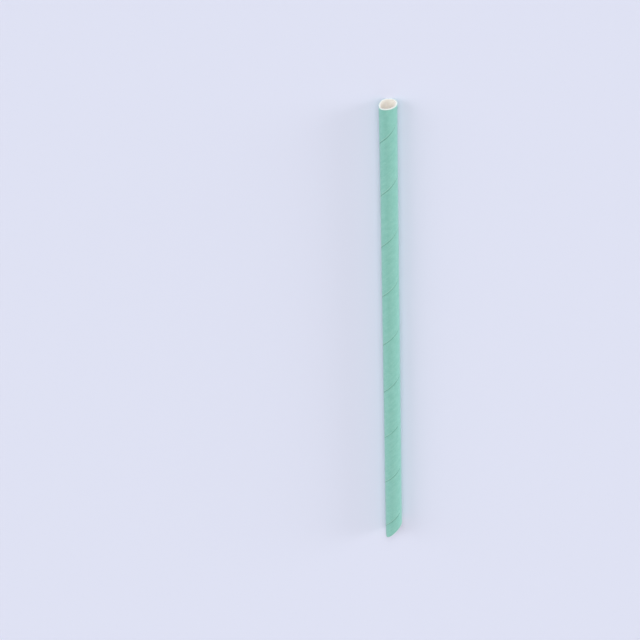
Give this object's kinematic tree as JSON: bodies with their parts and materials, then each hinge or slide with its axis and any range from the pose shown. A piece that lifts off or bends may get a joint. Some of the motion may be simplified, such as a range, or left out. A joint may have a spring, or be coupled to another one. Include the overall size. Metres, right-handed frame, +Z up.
{
  "type": "paper drinking straw",
  "caption": "Round paper drinking straw, a mint strip wound in a spiral round a white tube, cut flat at one end and slanting to a point at the other.",
  "frame": {"origin": "on the plane the straw lies on, under the middle of its length", "axes": "+Y along the straw, towards its flat end; the point is at -Y with its long side towards -X; +Z up"},
  "size_m": [0.006, 0.197, 0.0059],
  "materials": {
    "white_paper": "matt, uncoated, off-white",
    "mint_paper": "smooth satin, pale mint green"
  },
  "bodies": {
    "root": {"inner_tube": "white_paper", "outer_wrap": "mint_paper"}
  },
  "joints": []
}
